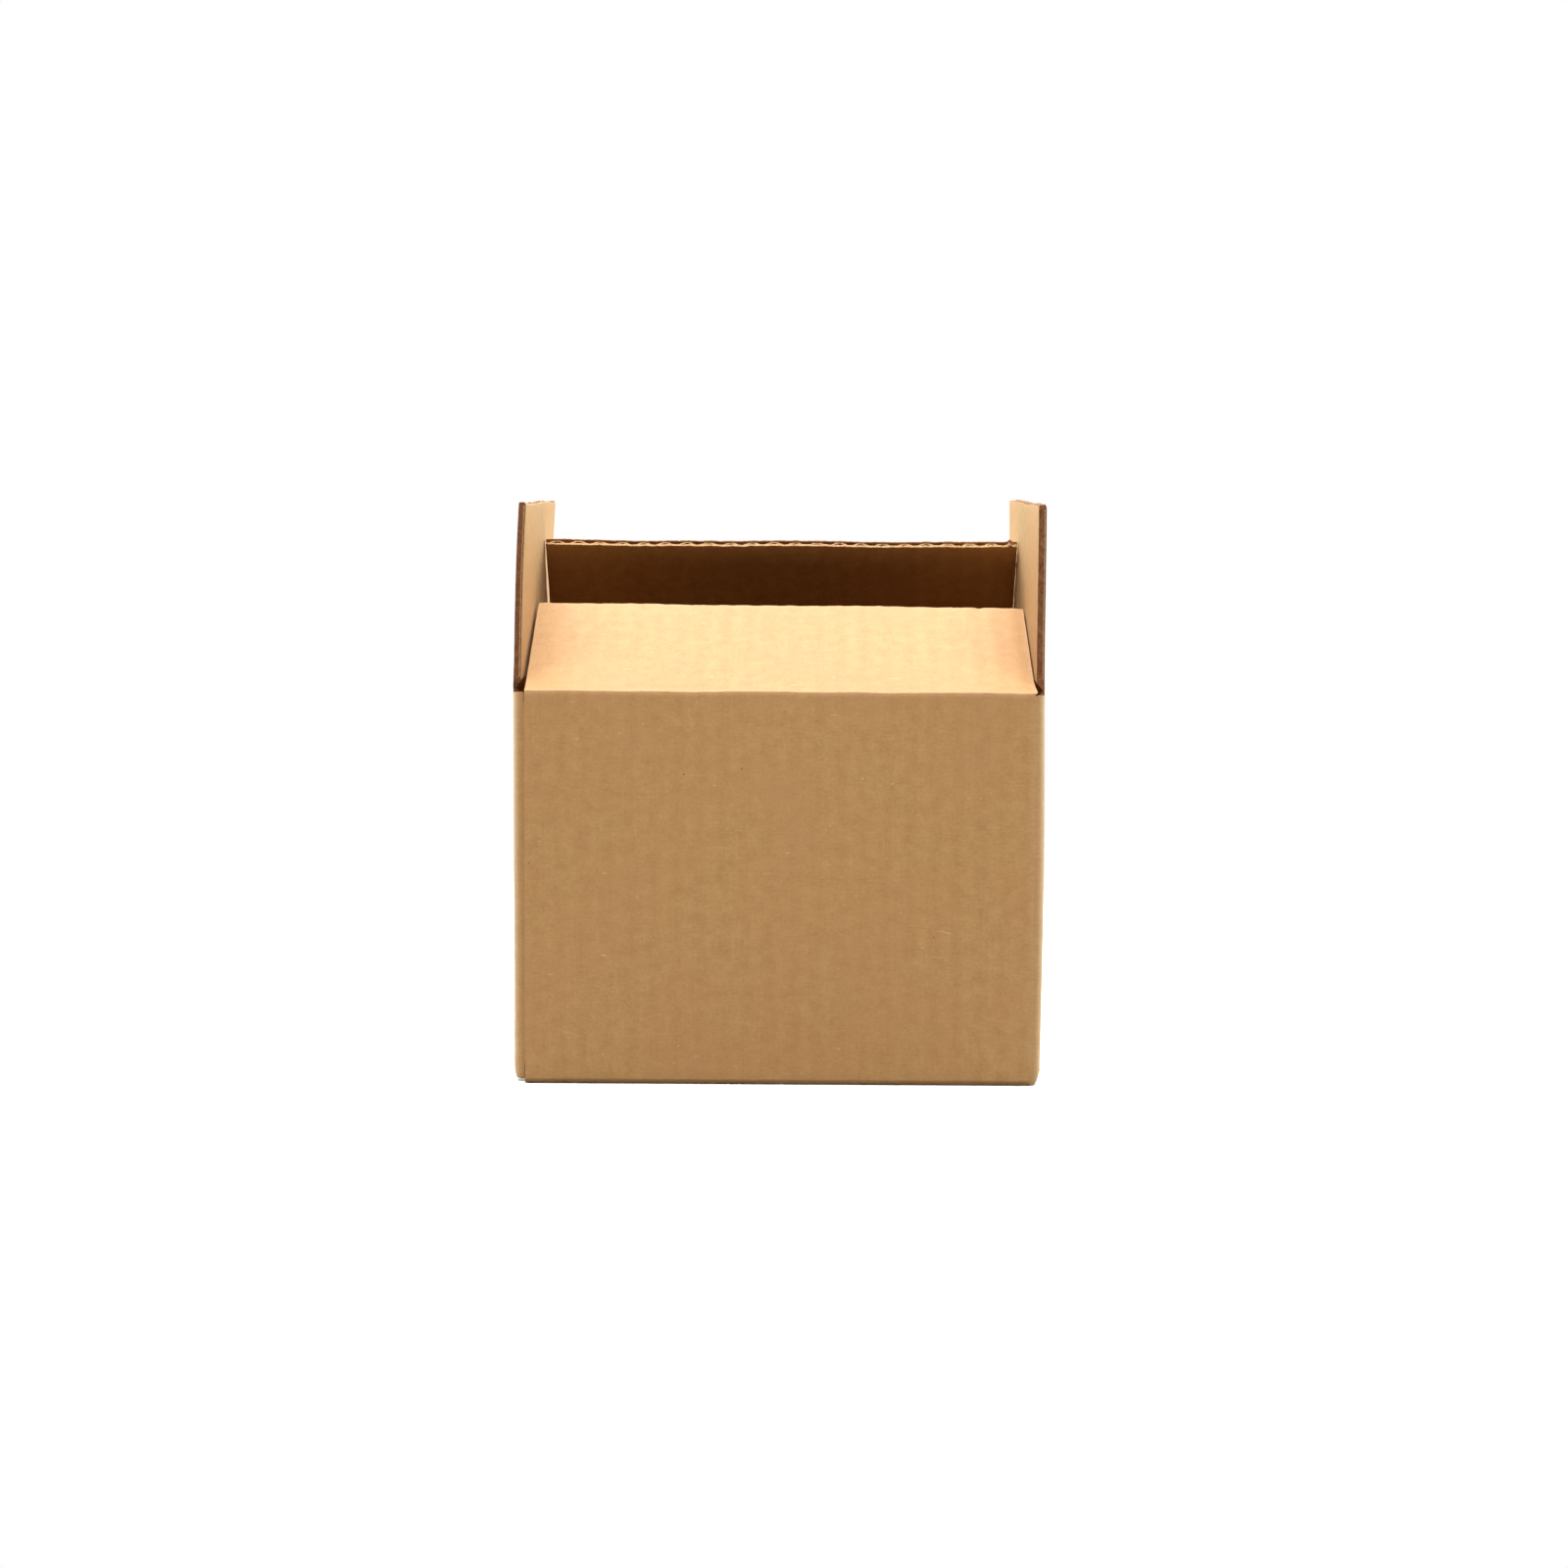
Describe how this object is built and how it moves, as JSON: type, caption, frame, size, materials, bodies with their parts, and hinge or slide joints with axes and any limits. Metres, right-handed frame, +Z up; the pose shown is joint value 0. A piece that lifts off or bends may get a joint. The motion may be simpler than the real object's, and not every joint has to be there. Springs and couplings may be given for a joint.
{
  "type": "shipping box",
  "caption": "Open slotted carton of plain kraft corrugated board with a glued corner, a closed bottom and hinged top flaps, for packing and sending goods.",
  "frame": {"origin": "under the middle of the carton's base, on the surface it stands on", "axes": "+Z up, +X to the carton's right seen from the front, -Y out of the front wall"},
  "size_m": [0.184, 0.133, 0.203],
  "materials": {
    "kraft_board": "unprinted kraft paper, matt"
  },
  "bodies": {
    "carton": {"carton_body": "kraft_board"},
    "front_flap": {"front_flap": "kraft_board"},
    "back_flap": {"back_flap": "kraft_board"},
    "left_flap": {"left_flap": "kraft_board"},
    "right_flap": {"right_flap": "kraft_board"}
  },
  "joints": [
    {"name": "front_fold", "type": "hinge", "parent": "carton", "child": "front_flap", "pos_m": [0, -0.0665, 0.1375], "axis": [1, 0, 0], "range_deg": [-25, 235]},
    {"name": "back_fold", "type": "hinge", "parent": "carton", "child": "back_flap", "pos_m": [0, 0.0665, 0.1375], "axis": [-1, 0, 0], "range_deg": [-50.5, 209.5]},
    {"name": "left_fold", "type": "hinge", "parent": "carton", "child": "left_flap", "pos_m": [-0.092, 0, 0.1375], "axis": [0, -1, 0], "range_deg": [0, 171]},
    {"name": "right_fold", "type": "hinge", "parent": "carton", "child": "right_flap", "pos_m": [0.092, 0, 0.1375], "axis": [0, 1, 0], "range_deg": [0, 170.5]}
  ]
}
